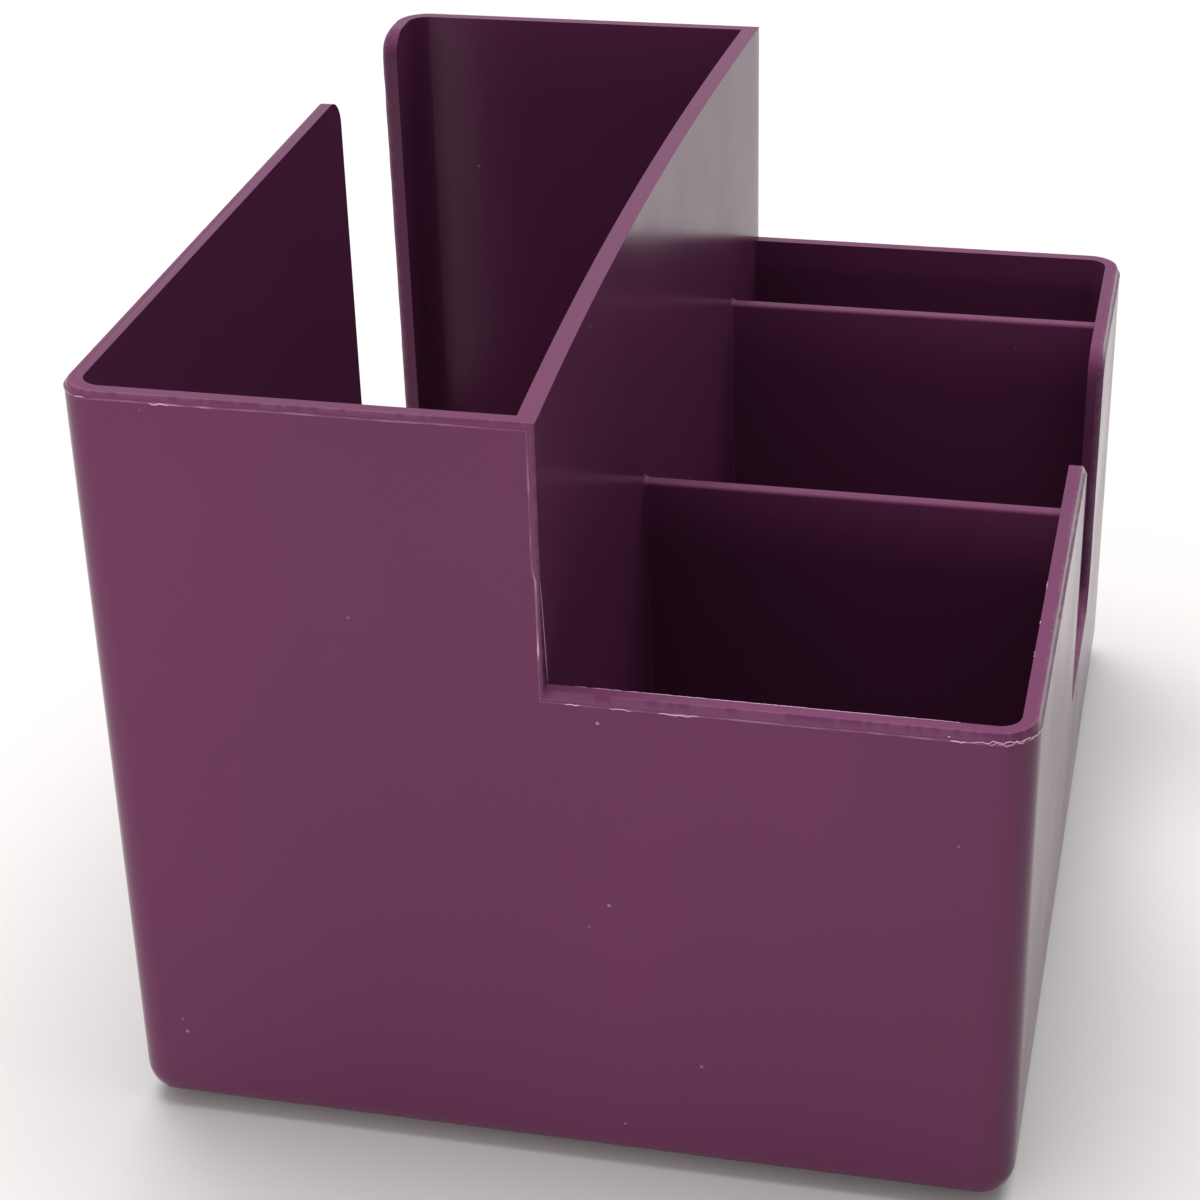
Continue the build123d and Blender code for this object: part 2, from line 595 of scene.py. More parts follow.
    def away_from_corners(self) -> np.ndarray:
        """Fades the parting line's unevenness out near the steps' corners.

        Returns:
            For each of the rim's points, 0 near the tall rim's two corners and near the
            place where the outline closes, and 1 from a few millimetres off.
        """
        travel = self.rim.travel
        tall = travel[self.rim.points[:, 1] > self.walls.top - HAIR]
        corners = np.array([travel[0], tall[0], tall[-1], travel[-1]])
        away = np.abs(travel[:, None] - corners).min(axis=1)
        return np.clip(away / self.calm_length - 1.0, 0.0, 1.0)

    def line_beside(self, distance: np.ndarray) -> np.ndarray:
        """Follows the parting line at a distance below it, or above it where negative.

        Beside the tall rim's two corners the line is held back where it would otherwise
        cross itself.

        Args:
            distance: the distance at each of the rim's points.

        Returns:
            The line's points, as distances along the walls and heights.
        """
        walls = self.walls
        along, height = self.rim.points.T
        line = self.rim.points + self.rim.inward * (self.band_depths() + distance[:, None])
        corner_depth = self.step_band + distance
        held_along = np.clip(line[:, 0], walls.back_middle + corner_depth, walls.around - corner_depth)
        held_height = np.minimum(line[:, 1], walls.top - self.tall_band - distance)
        on_top = height > walls.top - HAIR
        raised = height > walls.low_top
        return np.stack(
            (np.where(on_top, held_along, line[:, 0]), np.where(raised, held_height, line[:, 1])),
            axis=1,
        )

    def add_rim_top(self) -> None:
        """Adds the rim's flat top, across the wall's thickness, along the whole outline.

        A fine witness groove, a triangle in section, fades in along the front stretch of
        the left wall and out round the front corner. At the outline's own sharp corners,
        where the inward vector is longer than 1, the line across the rim is sharp too.
        """
        walls, rim = self.walls, self.rim
        middle = walls.knots[8] - self.witness_length / 2
        fade = 1 - np.abs(rim.points[:, 0] - middle) / (self.witness_length / 2)
        dip = rim.inward * self.witness_depth * np.sqrt(np.clip(fade, 0.0, 1.0))[:, None]
        groove = self.witness_inset + self.witness_width * np.array([-1.0, 0.0, 1.0])
        inset = np.array([self.rim_inset, *groove, walls.thickness])[:, None]
        share = np.array([0.0, 0.0, 1.0, 0.0, 0.0])[:, None, None]
        place = rim.points + dip * share
        grid = walls.skin(place[..., 0], place[..., 1], inset)
        sharp = np.zeros(grid.shape[:2])
        sharp[[0, -1]] = 1.0
        sharp[:, np.linalg.norm(rim.inward, axis=1) > self.corner_inward] = 1.0
        self.patches.add_grid(grid, sharp=sharp)

    def hollow_side(self, chosen: slice, first_end: float, last_end: float) -> np.ndarray:
        """Works out the walls of a hollow and the round between them and the floor.

        Args:
            chosen: the stretch of the rim's outline that the hollow has.
            first_end: where the middle wall's face crosses the stretch's start.
            last_end: where it crosses the stretch's end.

        Returns:
            The grid of points, from the rim down to the floor's flat part.
        """
        walls, rim = self.walls, self.rim
        feet = rim.feet(chosen)
        foot_height = self.floor + self.floor_radius
        edge = rim.points[chosen]
        ground = np.stack((feet, np.full(len(feet), foot_height)), axis=1)
        share = np.linspace(0.0, 1.0, self.wall_rows + 1)[:, None, None]
        straight = edge + (ground - edge) * share
        upper = walls.skin(straight[..., 0], straight[..., 1], walls.thickness)

        angle = np.linspace(0.0, pi / 2, self.arc_rows + 1)[1:, None]
        inward = self.floor_radius * (1 - np.cos(angle))
        height = foot_height - self.floor_radius * np.sin(angle)
        flat = walls.width / 2 - walls.corner - abs(first_end - feet[0])
        from_start = np.clip(1 - (feet - first_end) / flat, 0.0, 1.0)
        from_end = np.clip(1 - (last_end - feet) / flat, 0.0, 1.0)
        along = feet + inward * (from_start - from_end)
        lower = walls.skin(along, height, walls.thickness + inward)
        return np.concatenate((upper, lower))

    def add_hollow(self, side: np.ndarray, face: np.ndarray) -> None:
        """Adds a hollow's outer walls, its side of the middle wall, and its floor.

        Args:
            side: the grid down the outer walls.
            face: the grid down the middle wall, with the same rows.
        """
        self.patches.add_grid(side, sharp=self.sharp_border(side))
        self.patches.add_grid(face, sharp=self.sharp_border(face))
        ring = np.concatenate((side[-1], face[-1]))
        centre = np.broadcast_to(ring.mean(axis=0), ring.shape)
        self.patches.add_grid(np.stack((ring, centre)))

    def sharp_border(self, grid: np.ndarray) -> np.ndarray:
        """Marks a grid's first row, and its first and last columns, as sharp lines."""
        sharp = np.zeros(grid.shape[:2])
        sharp[0] = 1.0
        sharp[:, [0, -1]] = 1.0
        return sharp

    def middle_face(self, start_x: float, height: np.ndarray, inset: np.ndarray) -> np.ndarray:
        """Places points of one face of the bowed middle wall.

        The face's X is its place at the ends less a parabola along Y, which is highest at
        the rim and fades to nothing at the underside.

        Args:
            start_x: the face's X where it meets the front and back walls.
            height: the rows' Z.
            inset: how far each row stands off the face and off the end walls.

        Returns:
            The grid, a row for each height, from the back wall to the front wall.
        """
        walls = self.walls
        share = np.linspace(1.0, -1.0, self.length_steps + 1)[None]
        height, inset = height[:, None], inset[:, None]
        rise = (height - walls.underside) / (walls.top - walls.underside)
        reach = walls.depth / 2 - walls.thickness - walls.lean(height) - np.abs(inset)
        x = start_x + inset - self.bow * rise * (1 - share ** 2)
        return np.stack(np.broadcast_arrays(x, share * reach, height), axis=-1)

    def floor_rows(self, top: float) -> tuple[np.ndarray, np.ndarray]:
        """The heights and insets of a hollow's rows, from a level down to the floor."""
        foot_height = self.floor + self.floor_radius
        angle = np.linspace(0.0, pi / 2, self.arc_rows + 1)[1:]
        straight = np.linspace(top, foot_height, self.wall_rows + 1)
        height = np.concatenate((straight, foot_height - self.floor_radius * np.sin(angle)))
        inset = np.concatenate((0 * straight, self.floor_radius * (1 - np.cos(angle))))
        return height, inset

    def add_left_hollow(self) -> None:
        """Adds the tall compartment's inside."""
        walls = self.walls
        first_end = walls.back_middle + walls.thickness
        last_end = walls.around - walls.thickness
        start = self.rim.index_at(first_end, walls.top)
        end = self.rim.index_at(last_end, walls.top)
        side = self.hollow_side(slice(start, end + 1), first_end, last_end)
        height, inset = self.floor_rows(walls.top)
        face = self.middle_face(-walls.thickness, height, -inset)
        self.add_hollow(side, face[:, ::-1])

    def add_right_hollow(self) -> None:
        """Adds the low tray's inside, up to the low rim's level."""
        walls = self.walls
        end = self.rim.index_at(walls.back_middle, walls.low_top)
        side = self.hollow_side(slice(0, end + 1), 0.0, walls.back_middle)
        height, inset = self.floor_rows(walls.low_top)
        self.add_hollow(side, self.middle_face(0.0, height, inset))

    def add_middle_wall(self) -> None:
        """Adds the middle wall's top and the part of its right face above the low rim."""
        walls = self.walls
        step = self.rim.index_at(walls.back_middle, walls.low_top)
        top = self.rim.index_at(walls.back_middle, walls.top)
        height = self.rim.points[step:top + 1, 1][::-1]
        face = self.middle_face(0.0, height, 0 * height)
        self.patches.add_grid(face, sharp=self.sharp_border(face))
        across = self.rim.index_at(walls.back_middle + walls.thickness, walls.top) - top
        share = np.linspace(0.0, 1.0, across + 1)[:, None, None]
        right = face[0]
        left = right - np.array([walls.thickness, 0.0, 0.0])
        self.patches.add_grid(right + (left - right) * share, sharp=np.ones((across + 1, 1)))

    def add_underside(self) -> None:
        """Adds the flat underside and the shallow round seats of the foot pads."""
        walls = self.walls
        turn = np.linspace(0.0, 2 * pi, self.seat_steps, endpoint=False)
        circle = self.seat_radius * np.stack((np.cos(turn), np.sin(turn)), axis=1)
        outlines = [self.base_ring[:-1, :2]]
        levels = np.array([walls.underside, walls.underside + self.seat_depth])
        for pad in PADS:
            low, high = (np.array(corner[:2]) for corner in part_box(pad))
            ring = (low + high) / 2 + circle
            outlines.append(ring)
            closed = np.concatenate((ring, ring[:1]))
            tube = np.broadcast_to(closed, (2, *closed.shape))
            height = np.broadcast_to(levels[:, None, None], (2, len(closed), 1))
            self.patches.add_grid(np.concatenate((tube, height), axis=-1))
            self.patches.add_filled([ring], levels[1])
        self.patches.add_filled(outlines, levels[0])


# ------------------------------------------------------------------------ flash, whitened partly as painted highlight


@dataclass(frozen=True)
class Curl:
    """A thread of flash: where it runs along the walls, how it sways and how thick it is."""

    start: float
    end: float
    level: float
    inset: float
    sway: float
    radius: float


@dataclass
class PartingFlash:
    """Fine threads of plastic left on the parting line, and one witness line on the step, all whitened
    partly as pale flash and partly as a painted highlight.
    """

    moulding: Moulding
    slot: str = "shell_plastic"
    sides: int = 6
    steps_per_mm: float = 10.0
    sway_length: float = 0.4 * MM
    taper_power: float = 0.3
    slant: tuple[float, float, float] = (0.31, 0.17, 0.93)
    flash_and_highlight_paleness: float = 0.9
    witness_radius: float = 0.05 * MM
    witness_steps: int = 40
    merge_distance: float = 1e-7
    seed: int = 21

    def curls(self) -> list[Curl]:
        """Lists the threads: distances along the walls, levels and sizes in metres."""
        walls = self.moulding.walls
        rim, inner = walls.low_top, walls.thickness - 0.02 * MM
        low = rim - self.moulding.low_band
        high = walls.top - self.moulding.tall_band
        front_right, front_left = walls.knots[1], walls.knots[8]
        right_rim = walls.knots[2]
        near, thin, thick = 0.06 * MM, 0.045 * MM, 0.06 * MM
        return [
            Curl(front_right - 4.8 * MM, front_right - 3.0 * MM, low, near, 0.1 * MM, thick),
            Curl(front_right - 5.0 * MM, front_right - 4.7 * MM, low + 0.4 * MM, near, 0.4 * MM, thick),
            Curl(front_right - 2.6 * MM, front_right + 7.2 * MM, low + 0.3 * MM, near, 0.2 * MM, thin),
            Curl(front_right - 1.2 * MM, front_right + 6.6 * MM, low + 0.15 * MM, near, 0.3 * MM, thin),
            Curl(13.0 * MM, 17.6 * MM, low, near, 0.12 * MM, thick),
            Curl(7.5 * MM, 10.0 * MM, low, near, 0.12 * MM, thin),
            Curl(2.4 * MM, 4.2 * MM, low, near, 0.08 * MM, thick),
            # This long thread along the low rim's inner edge stands for that edge's bright line: its
            # whitening is a painted highlight of the edge.
            Curl(3.0 * MM, front_right - 3.0 * MM, rim, inner, 0.03 * MM, thin),
            Curl(right_rim + 13.0 * MM, right_rim + 14.5 * MM, rim, inner, 0.2 * MM, thin),
            Curl(right_rim + 21.0 * MM, right_rim + 21.8 * MM, rim, inner, 0.2 * MM, thick),
            Curl(right_rim + 29.0 * MM, right_rim + 31.5 * MM, rim, inner, 0.15 * MM, thin),
            Curl(front_left + 6.7 * MM, front_left + 9.0 * MM, high, near, 0.12 * MM, thick),
            Curl(front_left - 2.4 * MM, front_left - 1.0 * MM, high, near, 0.25 * MM, thin),
            Curl(front_left - 6.6 * MM, front_left - 5.0 * MM, high, near, 0.12 * MM, thin),
            Curl(walls.back_middle - 20 * MM, walls.back_middle - 14 * MM, low, near, 0.2 * MM, thin),
        ]

    def build(self, finish: bpy.types.Material) -> bpy.types.Object:
        """Builds every thread as a tube along its path.

        Args:
            finish: the material to wear.

        Returns:
            The piece that holds all the threads.
        """
        patches = Patchwork()
        for number, curl in enumerate(self.curls()):
            self.add_tube(patches, self.curl_path(curl, self.seed + 2 * number), curl.radius)
        self.add_tube(patches, self.witness_path(), self.witness_radius)
        mesh = patches.build("parting_flash", self.merge_distance)
        piece = add_piece("parting_flash", mesh, finish)
        return piece

    def curl_path(self, curl: Curl, seed: int) -> np.ndarray:
        """Lays a thread along the walls, swaying by two smooth random runs.

        Args:
            curl: the thread.
            seed: the number that the random runs start from.

        Returns:
            The thread's centre line, of shape (points, 3).
        """
        count = int((curl.end - curl.start) / MM * self.steps_per_mm) + 2
        along = np.linspace(curl.start, curl.end, count)
        rise = curl.sway * (2 * wander(along - curl.start, self.sway_length, seed) - 1)
        drift = curl.sway * (wander(along - curl.start, self.sway_length, seed + 1) - 0.5)
        return self.moulding.walls.skin(along + drift, curl.level + rise, curl.inset)

    def witness_path(self) -> np.ndarray:
        """The fine line on the step's upright face: straight, from the trim cut to the tray."""
        # The tube drawn along this path is whitened in add_tube: a painted highlight on the step's lit
        # edge.
        walls = self.moulding.walls
        top, low = self.moulding.trim_ends, walls.low_top
        front = -walls.depth / 2 + walls.lean(np.array([top, low]))
        back = np.array([self.moulding.rim_inset, walls.thickness])
        share = np.linspace(0.0, 1.0, self.witness_steps)[:, None]
        start = np.array([0.0, front[0] + back[0], top])
        end = np.array([0.0, front[1] + back[1], low])
        return start + (end - start) * share

    def add_tube(self, patches: Patchwork, path: np.ndarray, radius: float) -> None:
        """Adds a round tube along a path, tapering to a point at both ends.

        Each ring stands square to the path. Its first direction is the cross product of
        the path's direction and a fixed slant, and its second is square to that.

        Args:
            patches: what the tube is added to.
            path: its centre line, of shape (points, 3).
            radius: its radius at the thickest.
        """
        ahead = np.gradient(path, axis=0)
        ahead /= np.linalg.norm(ahead, axis=1)[:, None]
        across = np.cross(ahead, self.slant)
        across /= np.linalg.norm(across, axis=1)[:, None]
        over = np.cross(ahead, across)
        taper = np.sin(np.linspace(0.0, pi, len(path)))[:, None, None] ** self.taper_power
        turn = np.linspace(0.0, 2 * pi, self.sides + 1)[None, :, None]
        ring = across[:, None] * np.cos(turn) + over[:, None] * np.sin(turn)
        grid = path[:, None] + radius * taper * ring
        # Every tube is whitened: partly pale flash, partly a painted highlight on the edges that catch
        # the light.
        patches.add_grid(grid, flash=np.full(grid.shape[:2], self.flash_and_highlight_paleness))


# ------------------------------------------------------------------------ cross plates


@dataclass
class CrossPlates:
    """The two thin plates across the tray, flared a little where they meet the walls."""

    moulding: Moulding
    nodes: tuple[str, ...] = ("front_divider", "rear_divider")
    slot: str = "divider_plastic"
    top_radius: float = 0.45 * MM
    flare: float = 0.6 * MM
    let_in: float = 0.6 * MM
    arc_steps: int = 6
    upright_steps: int = 12
    most_swell: float = 0.75

    def build(self, finish: bpy.types.Material) -> list[bpy.types.Object]:
        """Builds both plates.

        Args:
            finish: the material to wear.

        Returns:
            The visible plates.
        """
        return [self.build_plate(node, finish) for node in self.nodes]

    def build_plate(self, node: str, finish: bpy.types.Material) -> bpy.types.Object:
        """Builds one plate as a profile carried across the tray.

        The profile goes up the front face, over the rounded top and down the rear face.
        It is carried from the middle wall to the right wall, and grows near both ends by
        what a small round fillet adds.

        Args:
            node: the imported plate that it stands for.
            finish: the material to wear.

        Returns:
            The visible plate.
        """
        low, high = (np.array(corner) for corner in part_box(node))
        y, z, out_y, out_z = self.profile(low, high)
        walls = self.moulding.walls
        rise = (z - walls.underside) / (walls.top - walls.underside)
        share = 1 - (y / (walls.depth / 2 - walls.thickness)) ** 2
        left_wall = -self.moulding.bow * rise * share
        right_wall = high[0] - self.let_in - (high[2] - z) * tan(walls.lean_angle)

        depth = self.flare * (1 - np.cos(np.linspace(0.0, pi / 2, self.arc_steps + 1)))
        near = np.concatenate(([-self.let_in], depth))
        left = left_wall + near[:, None]
        right = right_wall - near[::-1, None]
        x = np.concatenate((left, right))
        gap = np.clip(np.concatenate((near, near[::-1])), 0.0, self.flare)
        swell = self.flare - np.sqrt(self.flare ** 2 - (self.flare - gap) ** 2)
        swell = np.minimum(swell, self.most_swell * self.flare)[:, None]
        grid = np.stack((x, y + out_y * swell, z + out_z * swell), axis=-1)

        patches = Patchwork()
        patches.add_grid(grid)
        patches.add_grid(grid[:, [0, -1]])
        for end in (grid[0], grid[-1]):
            half = len(end) // 2 + 1
            patches.add_grid(np.stack((end[:half], end[::-1][:half])))
        mesh = patches.build(f"{node}_plate")
        piece = add_piece(f"{node}_plate", mesh, finish)
        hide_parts(node)
        return piece

    def profile(self, low: np.ndarray, high: np.ndarray) -> tuple[np.ndarray, ...]:
        """Works out the plate's section: two upright lines joined by two quarter arcs.

        Args:
            low: the plate's lowest corner.
            high: its highest corner.

        Returns:
            Y, Z, and the outward direction's Y and Z, for each point of the section.
        """
        radius = self.top_radius
        upright = np.linspace(low[2], high[2] - radius, self.upright_steps + 1)
        angle = np.linspace(pi, pi / 2, self.arc_steps + 1)[1:]
        arc_y = low[1] + radius + radius * np.cos(angle)
        front_y = np.concatenate((np.full(len(upright), low[1]), arc_y))
        front_z = np.concatenate((upright, high[2] - radius + radius * np.sin(angle)))
        out_y = np.concatenate((np.full(len(upright), -1.0), np.cos(angle)))
        out_z = np.concatenate((np.zeros(len(upright)), np.sin(angle)))
        rear_y = low[1] + high[1] - front_y[::-1]
        return (
            np.concatenate((front_y, rear_y)),
            np.concatenate((front_z, front_z[::-1])),
            np.concatenate((out_y, -out_y[::-1])),
            np.concatenate((out_z, out_z[::-1])),
        )


@dataclass
class FootPads:
    """The four rubber pads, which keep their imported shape."""

    nodes: tuple[str, ...] = PADS

    def dress(self, finish: bpy.types.Material) -> None:
        """Gives each pad's node the rubber finish."""
        for name in self.nodes:
            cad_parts[name].material_slots[0].material = finish


# ------------------------------------------------------------------------ finishes


class ShaderGraph:
    """A material's node tree, with short calls to add and to join nodes."""

    def __init__(self, name: str) -> None:
        """Starts an empty material that ends in a principled shader.

        Args:
            name: the material's name.
        """
        self.material = bpy.data.materials.new(name)
        self.material.use_nodes = True
        self.tree = self.material.node_tree
        self.tree.nodes.clear()
        output = self.tree.nodes.new("ShaderNodeOutputMaterial")
        self.shader = self.tree.nodes.new("ShaderNodeBsdfPrincipled")
        self.join(self.shader.outputs["BSDF"], output.inputs["Surface"])
        place = self.tree.nodes.new("ShaderNodeTexCoord")
        self.place = place.outputs["Object"]

    def join(self, source: bpy.types.NodeSocket, target: bpy.types.NodeSocket) -> None:
        """Links one socket to another."""
        self.tree.links.new(source, target)

    def noise(
        self, scale: float, detail: float = 2.0, stretch: tuple = (1, 1, 1)
    ) -> bpy.types.NodeSocket:
        """Adds a noise over the object's own coordinates.

        Args:
            scale: how many features there are to a metre.
            detail: how many finer layers are added.
            stretch: how much closer the features are along X, Y and Z.

        Returns:
            The noise's value, from 0 to 1.
        """
        mapping = self.tree.nodes.new("ShaderNodeMapping")
        mapping.inputs["Scale"].default_value = stretch
        self.join(self.place, mapping.inputs["Vector"])
        noise = self.tree.nodes.new("ShaderNodeTexNoise")
        noise.inputs["Scale"].default_value = scale
        noise.inputs["Detail"].default_value = detail
        self.join(mapping.outputs["Vector"], noise.inputs["Vector"])
        return noise.outputs["Fac"]

    def specks(self, scale: float, size: float) -> bpy.types.NodeSocket:
        """Adds small round specks scattered over the surface.

        Args:
            scale: how many specks there are to a metre.
            size: a speck's radius as a share of the spacing.

        Returns:
            A mask that is 1 inside a speck and 0 elsewhere.
        """
        cells = self.tree.nodes.new("ShaderNodeTexVoronoi")
        cells.inputs["Scale"].default_value = scale
        self.join(self.place, cells.inputs["Vector"])
        return self.remap(cells.outputs["Distance"], (size, size * 0.5), (0.0, 1.0))

    def mark(self, mark: Mark) -> bpy.types.NodeSocket:
        """Reads one of the mesh's own per-vertex marks."""
        node = self.tree.nodes.new("ShaderNodeAttribute")
        node.attribute_name = mark.value
        return node.outputs["Fac"]

    def remap(
        self, value: bpy.types.NodeSocket, source: tuple, target: tuple
    ) -> bpy.types.NodeSocket:
        """Maps a range of values onto another, held at its ends.

        Args:
            value: the socket to read.
            source: the two values that become the ends of target.
            target: the range that comes out.

        Returns:
            The mapped value.
        """
        node = self.tree.nodes.new("ShaderNodeMapRange")
        node.inputs["From Min"].default_value, node.inputs["From Max"].default_value = source
        node.inputs["To Min"].default_value, node.inputs["To Max"].default_value = target
        self.join(value, node.inputs["Value"])
        return node.outputs["Result"]

    def multiply(
        self, first: bpy.types.NodeSocket, second: bpy.types.NodeSocket
    ) -> bpy.types.NodeSocket:
        """Multiplies two values."""
        node = self.tree.nodes.new("ShaderNodeMath")
        node.operation = "MULTIPLY"
        self.join(first, node.inputs[0])
        self.join(second, node.inputs[1])
        return node.outputs["Value"]

    def blend(
        self,
        factor: bpy.types.NodeSocket,
        first: bpy.types.NodeSocket | tuple,
        second: bpy.types.NodeSocket | tuple,
    ) -> bpy.types.NodeSocket:
        """Mixes two colours.

        Args:
            factor: 0 gives the first colour and 1 the second.
            first: a colour, as a socket or as red, green and blue.
            second: the same.

        Returns:
            The mixed colour.
        """
        node = self.tree.nodes.new("ShaderNodeMix")
        node.data_type = "RGBA"
        self.join(factor, node.inputs["Factor"])
        for socket, value in ((node.inputs["A"], first), (node.inputs["B"], second)):
            if isinstance(value, tuple):
                socket.default_value = (*value, 1.0)
            else:
                self.join(value, socket)
        return node.outputs["Result"]

    def bump(
        self,
        height: bpy.types.NodeSocket,
        depth: float,
        strength: float,
        below: bpy.types.NodeSocket | None = None,
    ) -> bpy.types.NodeSocket:
        """Adds a bump of a height map, over an earlier bump if one is given.

        Args:
            height: the height, from 0 to 1.
            depth: the height in metres that 1 stands for.
            strength: how much of the bump shows.
            below: the normal of an earlier bump.

        Returns:
            The bumped normal.
        """
        node = self.tree.nodes.new("ShaderNodeBump")
        node.inputs["Distance"].default_value = depth
        node.inputs["Strength"].default_value = strength
        self.join(height, node.inputs["Height"])
        if below is not None:
            self.join(below, node.inputs["Normal"])
        return node.outputs["Normal"]


@dataclass(frozen=True)
class MouldedPlastic:
    """Plum plastic straight from the mould: satin, with faint flow marks, dust, and whitening that is
    partly pale flash and partly painted highlight.
    """

    name: str = "plum_moulded_plastic"
    colour: tuple = (0.103, 0.0248, 0.0685)
    deep_colour: tuple = (0.093, 0.0225, 0.062)
    dust_colour: tuple = (0.36, 0.3, 0.35)
    # Colour of the flash mark: partly pale flash, partly a painted highlight.
    flash_and_highlight_colour: tuple = (0.62, 0.4, 0.56)
    roughness: tuple = (0.17, 0.26)
    refraction: float = 1.26
    flow_scale: float = 14.0
    flow_stretch: tuple = (1.0, 1.0, 0.45)
    flow_range: tuple = (0.35, 0.65)
    patch_scale: float = 45.0
    patch_range: tuple = (0.52, 0.7)
    dust_scale: float = 190.0
    dust_size: float = 0.05
    most_dust: float = 0.6
    most_flash_and_highlight: float = 0.9
    smear_scale: float = 38.0
    smear_range: tuple = (0.3, 0.7)
    wave_scale: float = 30.0
    wave_depth: float = 0.4 * MM
    wave_strength: float = 0.05
    grain_scale: float = 1600.0
    grain_depth: float = 0.02 * MM
    grain_strength: float = 0.2

    def material(self) -> bpy.types.Material:
        """Makes the material.

        Returns:
            The plastic's material, patterned over the object's own coordinates.
        """
        graph = ShaderGraph(self.name)
        shader = graph.shader
        streaks = graph.noise(self.flow_scale, detail=3.0, stretch=self.flow_stretch)
        flow = graph.remap(streaks, self.flow_range, (0.0, 1.0))
        colour = graph.blend(flow, self.deep_colour, self.colour)
        clouds = graph.noise(self.patch_scale, detail=1.0)
        patches = graph.remap(clouds, self.patch_range, (0.0, self.most_dust))
        dust = graph.multiply(graph.specks(self.dust_scale, self.dust_size), patches)
        colour = graph.blend(dust, colour, self.dust_colour)
        # Whitens where the mesh's flash mark is set: partly pale flash, partly painted highlight on
        # edges and the parting line.
        flash_and_highlight_share = graph.remap(graph.mark(Mark.FLASH), (0.0, 1.0), (0.0, self.most_flash_and_highlight))
        colour = graph.blend(flash_and_highlight_share, colour, self.flash_and_highlight_colour)
        graph.join(colour, shader.inputs["Base Color"])
        smear = graph.noise(self.smear_scale, detail=5.0)
        gloss = graph.remap(smear, self.smear_range, self.roughness)
        graph.join(gloss, shader.inputs["Roughness"])
        ripple = graph.noise(self.wave_scale, detail=1.0)
        waves = graph.bump(ripple, self.wave_depth, self.wave_strength)
        stipple = graph.noise(self.grain_scale)
        grain = graph.bump(stipple, self.grain_depth, self.grain_strength, waves)
        graph.join(grain, shader.inputs["Normal"])
        shader.inputs["IOR"].default_value = self.refraction
        return graph.material


@dataclass(frozen=True)
class PadRubber:
    """Dark foot rubber with a fine matt grain."""

    name: str = "foot_pad_rubber"
    colour: tuple = (0.022, 0.02, 0.022)
    worn_colour: tuple = (0.05, 0.047, 0.05)
    roughness: tuple = (0.72, 0.9)
    wear_scale: float = 400.0
    wear_range: tuple = (0.45, 0.65)
    grain_scale: float = 2600.0
    grain_depth: float = 0.05 * MM
    grain_strength: float = 0.6

    def material(self) -> bpy.types.Material:
        """Makes the material.

        Returns:
            The rubber's material, patterned over the object's own coordinates.
        """
        graph = ShaderGraph(self.name)
        clouds = graph.noise(self.wear_scale, detail=4.0)
        worn = graph.remap(clouds, self.wear_range, (0.0, 1.0))
        colour = graph.blend(worn, self.colour, self.worn_colour)
        graph.join(colour, graph.shader.inputs["Base Color"])
        rough = graph.remap(worn, (0.0, 1.0), self.roughness)
        graph.join(rough, graph.shader.inputs["Roughness"])
        stipple = graph.noise(self.grain_scale)
        grain = graph.bump(stipple, self.grain_depth, self.grain_strength)
        graph.join(grain, graph.shader.inputs["Normal"])
        return graph.material


# ------------------------------------------------------------------------ studio


@dataclass(frozen=True)
class SoftLight:
    """A broad lamp aimed at a point of the object."""

    name: str
    place: tuple[float, float, float]
    aim: tuple[float, float, float]
    power: float
    size: tuple[float, float]
    colour: tuple[float, float, float]

    def build(self) -> None:
        """Makes the lamp."""
        data = bpy.data.lights.new(self.name, "AREA")
        data.shape = "RECTANGLE"
        data.energy = self.power
        data.size, data.size_y = self.size
        data.color = self.colour
        light = bpy.data.objects.new(self.name, data)
        light.location = self.place
        towards = Vector(self.aim) - Vector(self.place)
        light.rotation_euler = towards.to_track_quat("-Z", "Y").to_euler()
        light.visible_camera = False
        light.visible_glossy = False
        bpy.context.scene.collection.objects.link(light)


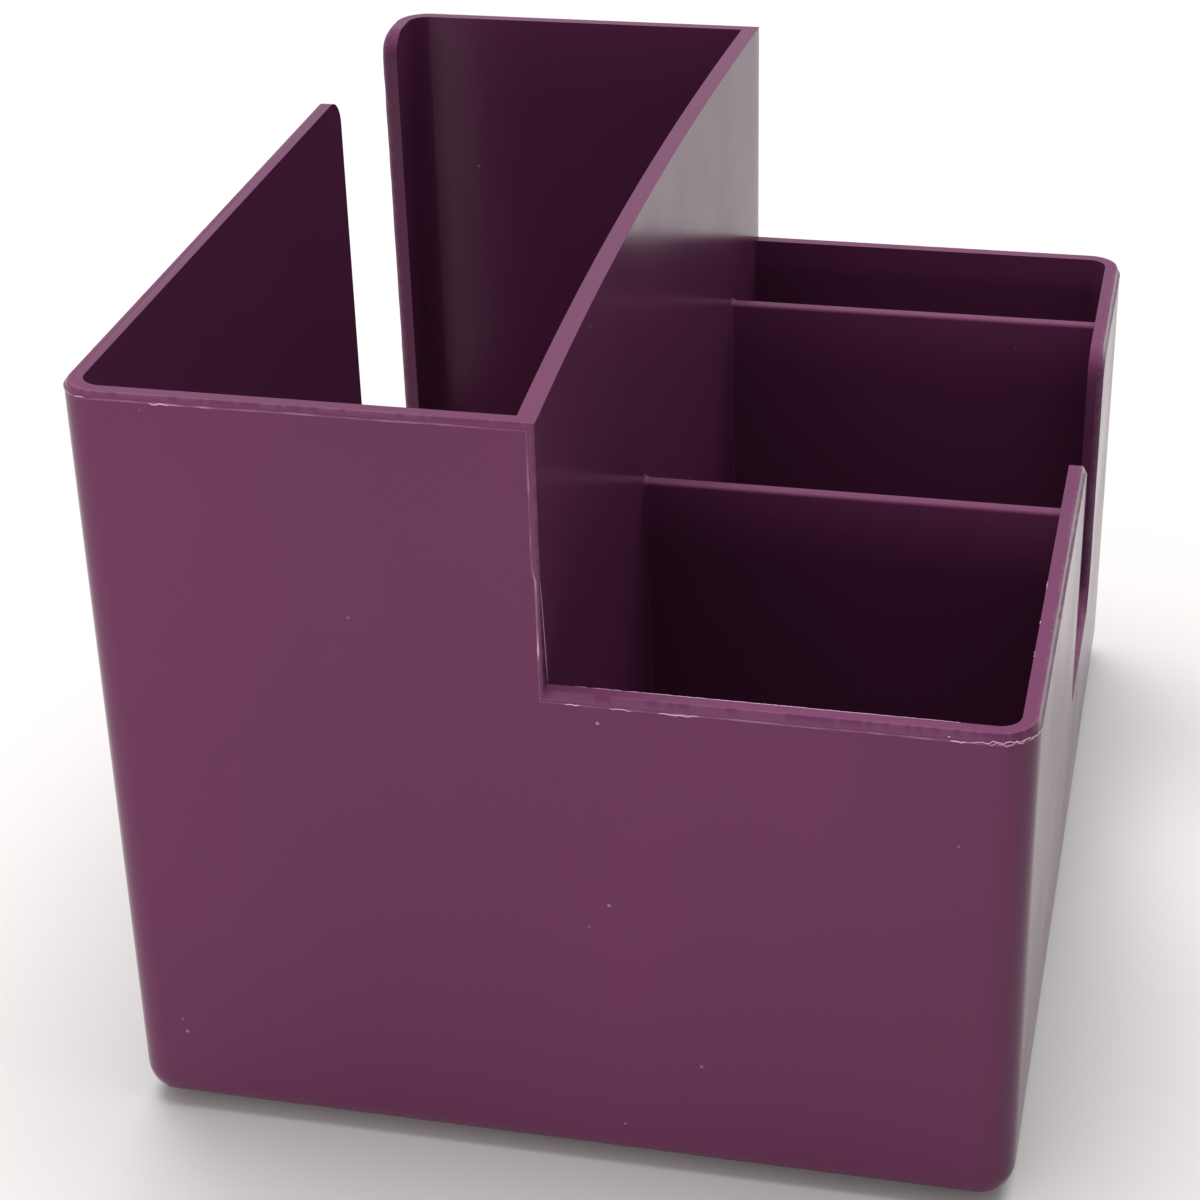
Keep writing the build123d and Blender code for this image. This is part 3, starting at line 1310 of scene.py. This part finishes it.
@dataclass
class Studio:
    """A pale floor under a sky that is brightest overhead, with lamps above and in front."""

    floor_size: float = 6.0
    floor_colour: tuple = (0.52, 0.515, 0.51)
    floor_roughness: float = 0.6
    dim_strength: float = 0.1
    bright_strength: float = 0.85
    brightest: tuple = (-0.3, 0.25, 0.92)
    sky_range: tuple = (-0.2, 0.9)
    sky_colour: tuple = (0.88, 0.95, 0.97)
    lamps: tuple[SoftLight, ...] = (
        SoftLight(
            name="overhead",
            place=(-0.05, 0.3, 1.1),
            aim=(0, 0, 0.05),
            power=26.0,
            size=(1.2, 1.2),
            colour=(1.0, 0.94, 0.93),
        ),
        SoftLight(
            name="front",
            place=(-0.08, -0.32, 0.085),
            aim=(-0.02, -0.07, 0.09),
            power=0.6,
            size=(0.3, 0.08),
            colour=(1.0, 0.84, 0.86),
        ),
    )

    def build(self) -> None:
        """Makes the floor, the sky and the lamps."""
        self.build_floor()
        self.build_sky()
        for lamp in self.lamps:
            lamp.build()

    def build_floor(self) -> None:
        """Makes the floor, which isn't part of the object."""
        half = self.floor_size / 2
        mesh = bpy.data.meshes.new("floor")
        corners = [(-half, -half, 0), (half, -half, 0), (half, half, 0), (-half, half, 0)]
        mesh.from_pydata(corners, [], [(0, 1, 2, 3)])
        floor = bpy.data.objects.new("floor", mesh)
        bpy.context.scene.collection.objects.link(floor)
        graph = ShaderGraph("pale_floor")
        graph.shader.inputs["Base Color"].default_value = (*self.floor_colour, 1.0)
        graph.shader.inputs["Roughness"].default_value = self.floor_roughness
        mesh.materials.append(graph.material)

    def build_sky(self) -> None:
        """Makes the sky: its strength grows evenly towards its brightest direction."""
        world = bpy.data.worlds.new("soft_sky")
        world.use_nodes = True
        tree = world.node_tree
        background = tree.nodes["Background"]
        background.inputs["Color"].default_value = (*self.sky_colour, 1.0)
        direction = tree.nodes.new("ShaderNodeTexCoord")
        facing = tree.nodes.new("ShaderNodeVectorMath")
        facing.operation = "DOT_PRODUCT"
        facing.inputs[1].default_value = self.brightest
        tree.links.new(direction.outputs["Generated"], facing.inputs[0])
        strength = tree.nodes.new("ShaderNodeMapRange")
        strength.inputs["From Min"].default_value = self.sky_range[0]
        strength.inputs["From Max"].default_value = self.sky_range[1]
        strength.inputs["To Min"].default_value = self.dim_strength
        strength.inputs["To Max"].default_value = self.bright_strength
        tree.links.new(facing.outputs["Value"], strength.inputs["Value"])
        tree.links.new(strength.outputs["Result"], background.inputs["Strength"])
        bpy.context.scene.world = world


@dataclass
class Viewpoint:
    """The main camera: front right and above, held a little out of level."""

    place: tuple = (70.32 * MM, -338.31 * MM, 228.46 * MM)
    yaw: float = radians(14.66)
    pitch: float = radians(27.80)
    roll: float = radians(-2.14)
    lens: float = 86.48
    shift: tuple = (0.05, -0.0314)
    nearest: float = 10.0 * MM

    def build(self) -> None:
        """Makes the camera and turns it: level first, then yaw, pitch and roll."""
        data = bpy.data.cameras.new("main_camera")
        data.lens = self.lens
        data.shift_x, data.shift_y = self.shift
        data.clip_start = self.nearest
        camera = bpy.data.objects.new("main_camera", data)
        turn = (
            Matrix.Rotation(self.yaw, 4, "Z")
            @ Matrix.Rotation(radians(90.0) - self.pitch, 4, "X")
            @ Matrix.Rotation(self.roll, 4, "Z")
        )
        camera.matrix_world = Matrix.Translation(self.place) @ turn
        bpy.context.scene.collection.objects.link(camera)
        bpy.context.scene.camera = camera


def main() -> None:
    """Builds the organizer, its studio and its camera, and reports each piece that it builds."""
    logging.basicConfig(level=logging.INFO, format="%(name)s: %(message)s")
    bpy.context.scene.view_settings.view_transform = "Standard"
    Viewpoint().build()
    Studio().build()
    plastic = MouldedPlastic().material()
    moulding = Moulding()
    LOG.info("built %s", moulding.build(plastic).name)
    LOG.info("built %s", PartingFlash(moulding).build(plastic).name)
    for plate in CrossPlates(moulding).build(plastic):
        LOG.info("built %s", plate.name)
    FootPads().dress(PadRubber().material())


if __name__ == "__main__":
    main()
